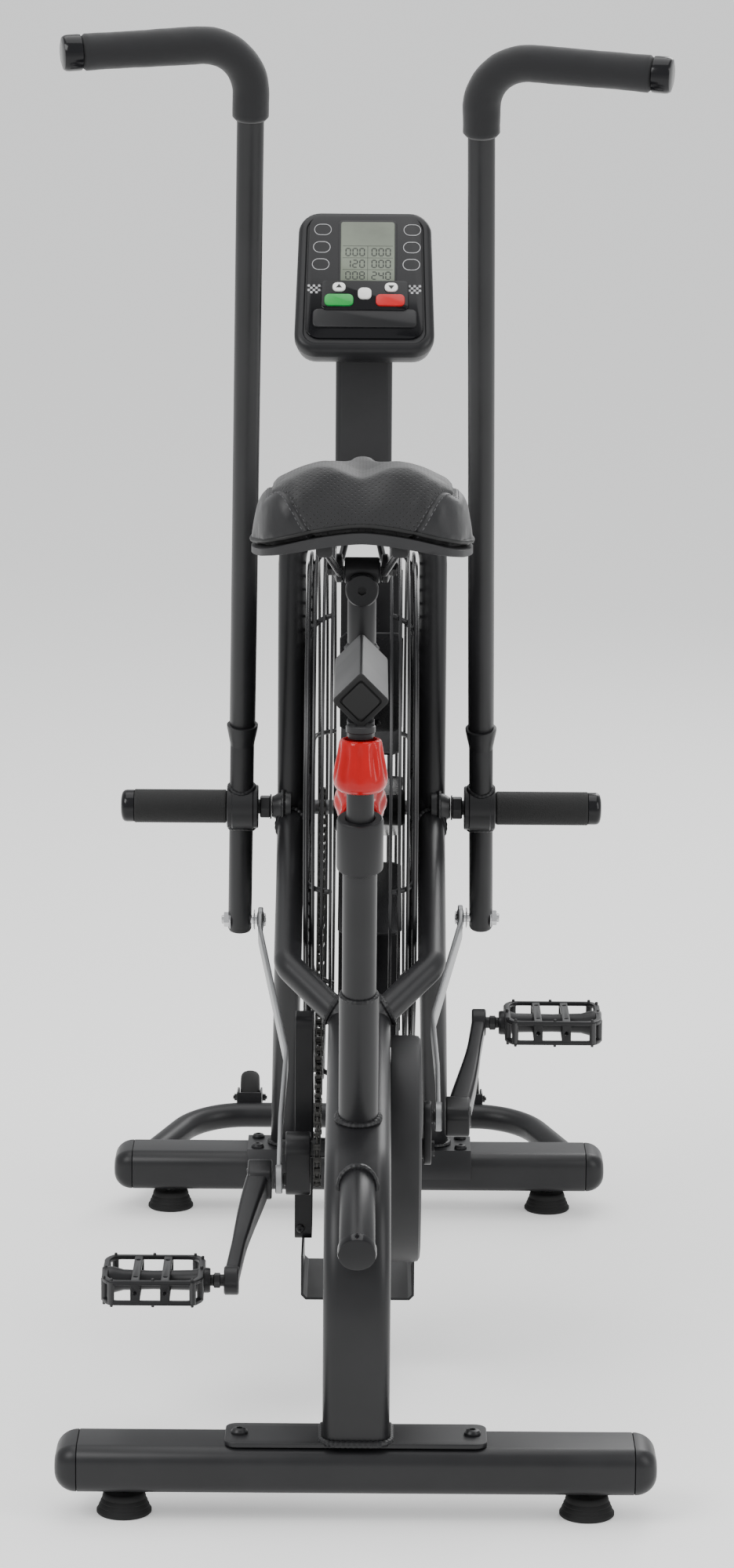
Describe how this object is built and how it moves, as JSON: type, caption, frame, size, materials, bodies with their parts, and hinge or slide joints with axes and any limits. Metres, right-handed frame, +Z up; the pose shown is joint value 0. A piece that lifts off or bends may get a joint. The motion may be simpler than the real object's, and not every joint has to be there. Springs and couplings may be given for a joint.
{
  "type": "air bike",
  "caption": "Exercise bike with a wire-caged fan turned by a crank and chain, two swinging arms linked to the crank pins, and a saddle that adjusts in height and reach.",
  "frame": {"origin": "on the floor, under the centre of the bounding box", "axes": "+X to the rider's right, +Y forwards, +Z up"},
  "size_m": [0.6204, 1.373, 1.3788],
  "materials": {
    "powder_coat": "satin",
    "black_plastic": "satin",
    "grey_plastic": "matte",
    "gloss_black": "gloss",
    "rubber": "matte",
    "foam": "matte",
    "vinyl": "satin",
    "red_plastic": "gloss",
    "plated_steel": "satin",
    "dark_steel": "satin",
    "key_green": "satin",
    "key_red": "satin",
    "key_white": "satin"
  },
  "bodies": {
    "frame": {"main_frame": "powder_coat", "rear_stabilizer": "powder_coat", "front_stabilizer": "powder_coat", "stabilizer_cap_rear_left": "black_plastic", "stabilizer_cap_rear_right": "black_plastic", "stabilizer_cap_front_left": "black_plastic", "stabilizer_cap_front_right": "black_plastic", "wheel_bar": "powder_coat", "lift_handle_cap": "grey_plastic", "console_mast": "powder_coat", "console_body": "black_plastic", "console_face": "gloss_black", "cage_left": "dark_steel", "cage_right": "dark_steel", "fan_axle": "dark_steel", "drive_chain": "dark_steel", "chain_guard": "black_plastic", "crank_cover": "grey_plastic", "pivot_bolt_left": "dark_steel", "pivot_bolt_right": "dark_steel", "foot_peg_left": "black_plastic", "foot_peg_right": "black_plastic"},
    "crank": {"crank_spindle": "dark_steel", "chainring": "dark_steel", "crank_inner_left": "dark_steel", "crank_inner_right": "dark_steel", "crank_outer_left": "dark_steel", "crank_outer_right": "dark_steel"},
    "pedal_left_body": {"pedal_left": "black_plastic"},
    "pedal_right_body": {"pedal_right": "black_plastic"},
    "fan": {"fan_wheel": "dark_steel", "fan_sprocket": "dark_steel"},
    "arm_left": {"handle_lower_left": "powder_coat", "handle_upper_left": "powder_coat", "grip_left": "foam", "grip_cap_left": "gloss_black"},
    "arm_right": {"handle_lower_right": "powder_coat", "handle_upper_right": "powder_coat", "grip_right": "foam", "grip_cap_right": "gloss_black"},
    "link_left_body": {"link_left": "plated_steel"},
    "link_right_body": {"link_right": "plated_steel"},
    "post": {"seat_post": "powder_coat"},
    "post_pin": {"post_knob": "red_plastic"},
    "slider": {"seat_slider": "powder_coat"},
    "slider_lock": {"slider_knob": "red_plastic"},
    "saddle": {"saddle_rails": "dark_steel", "saddle_pan": "grey_plastic", "saddle_cushion": "vinyl"},
    "wheel_left": {"transport_wheel_left": "rubber"},
    "wheel_right": {"transport_wheel_right": "rubber"},
    "levelling_rear_left": {"foot_rear_left": "rubber"},
    "levelling_rear_right": {"foot_rear_right": "rubber"},
    "levelling_front_left": {"foot_front_left": "rubber"},
    "levelling_front_right": {"foot_front_right": "rubber"},
    "button_up": {"key_up": "key_white"},
    "button_down": {"key_down": "key_white"},
    "button_enter": {"key_enter": "key_white"},
    "button_start": {"key_start": "key_green"},
    "button_stop": {"key_stop": "key_red"}
  },
  "joints": [
    {"name": "crank_spin", "type": "hinge", "parent": "frame", "child": "crank", "pos_m": [0, -0.2065, 0.25], "axis": [1, 0, 0], "continuous": true},
    {"name": "pedal_left_spin", "type": "hinge", "parent": "crank", "child": "pedal_left_body", "pos_m": [-0.203, -0.35495, 0.1536], "axis": [1, 0, 0], "continuous": true},
    {"name": "pedal_right_spin", "type": "hinge", "parent": "crank", "child": "pedal_right_body", "pos_m": [0.203, -0.05806, 0.3464], "axis": [1, 0, 0], "continuous": true},
    {"name": "fan_spin", "type": "hinge", "parent": "frame", "child": "fan", "pos_m": [0, 0.1755, 0.53], "axis": [1, 0, 0], "continuous": true},
    {"name": "arm_left_swing", "type": "hinge", "parent": "frame", "child": "arm_left", "pos_m": [-0.1295, 0.1755, 0.53], "axis": [1, 0, 0], "range_deg": [-13.9, 17.3]},
    {"name": "arm_right_swing", "type": "hinge", "parent": "frame", "child": "arm_right", "pos_m": [0.1295, 0.1755, 0.53], "axis": [1, 0, 0], "range_deg": [-17.3, 13.9]},
    {"name": "link_left_swing", "type": "hinge", "parent": "arm_left", "child": "link_left_body", "pos_m": [-0.1105, 0.20794, 0.39587], "axis": [1, 0, 0], "range_deg": [-17.3, 13.9]},
    {"name": "link_right_swing", "type": "hinge", "parent": "arm_right", "child": "link_right_body", "pos_m": [0.1105, 0.21586, 0.39803], "axis": [1, 0, 0], "range_deg": [-13.9, 17.3]},
    {"name": "seat_height", "type": "slide", "parent": "frame", "child": "post", "axis": [0, -0.2215, 0.9751], "range_m": [-0.042, 0.12]},
    {"name": "post_knob_pull", "type": "slide", "parent": "frame", "child": "post_pin", "axis": [0, 0.9751, 0.2215], "range_m": [0, 0.012]},
    {"name": "saddle_fore_aft", "type": "slide", "parent": "post", "child": "slider", "axis": [0, 1, 0], "range_m": [-0.03, 0.08]},
    {"name": "slider_knob_turn", "type": "hinge", "parent": "post", "child": "slider_lock", "pos_m": [0, -0.583, 0.72], "axis": [0, 0, 1], "range_deg": [-180, 180]},
    {"name": "saddle_tilt", "type": "hinge", "parent": "slider", "child": "saddle", "pos_m": [0, -0.3015, 0.862], "axis": [1, 0, 0], "range_deg": [-10, 10]},
    {"name": "wheel_left_roll", "type": "hinge", "parent": "frame", "child": "wheel_left", "pos_m": [-0.133, 0.654, 0.0745], "axis": [1, 0, 0], "continuous": true},
    {"name": "wheel_right_roll", "type": "hinge", "parent": "frame", "child": "wheel_right", "pos_m": [0.133, 0.654, 0.0745], "axis": [1, 0, 0], "continuous": true},
    {"name": "foot_rear_left_turn", "type": "hinge", "parent": "frame", "child": "levelling_rear_left", "pos_m": [-0.22, -0.6015, 0.01], "axis": [0, 0, 1], "continuous": true},
    {"name": "foot_rear_right_turn", "type": "hinge", "parent": "frame", "child": "levelling_rear_right", "pos_m": [0.22, -0.6015, 0.01], "axis": [0, 0, 1], "continuous": true},
    {"name": "foot_front_left_turn", "type": "hinge", "parent": "frame", "child": "levelling_front_left", "pos_m": [-0.22, 0.4355, 0.01], "axis": [0, 0, 1], "continuous": true},
    {"name": "foot_front_right_turn", "type": "hinge", "parent": "frame", "child": "levelling_front_right", "pos_m": [0.22, 0.4355, 0.01], "axis": [0, 0, 1], "continuous": true},
    {"name": "key_up_press", "type": "slide", "parent": "frame", "child": "button_up", "axis": [0, 0.788, -0.6157], "range_m": [0, 0.001]},
    {"name": "key_down_press", "type": "slide", "parent": "frame", "child": "button_down", "axis": [0, 0.788, -0.6157], "range_m": [0, 0.001]},
    {"name": "key_enter_press", "type": "slide", "parent": "frame", "child": "button_enter", "axis": [0, 0.788, -0.6157], "range_m": [0, 0.001]},
    {"name": "key_start_press", "type": "slide", "parent": "frame", "child": "button_start", "axis": [0, 0.788, -0.6157], "range_m": [0, 0.001]},
    {"name": "key_stop_press", "type": "slide", "parent": "frame", "child": "button_stop", "axis": [0, 0.788, -0.6157], "range_m": [0, 0.001]}
  ],
  "couplings": [
    {"joint": "fan_spin", "follows": "crank_spin", "ratio": 2},
    {"joint": "arm_right_swing", "follows": "arm_left_swing", "ratio": -1},
    {"joint": "link_left_swing", "follows": "arm_left_swing", "ratio": -1},
    {"joint": "link_right_swing", "follows": "arm_left_swing", "ratio": 1}
  ]
}
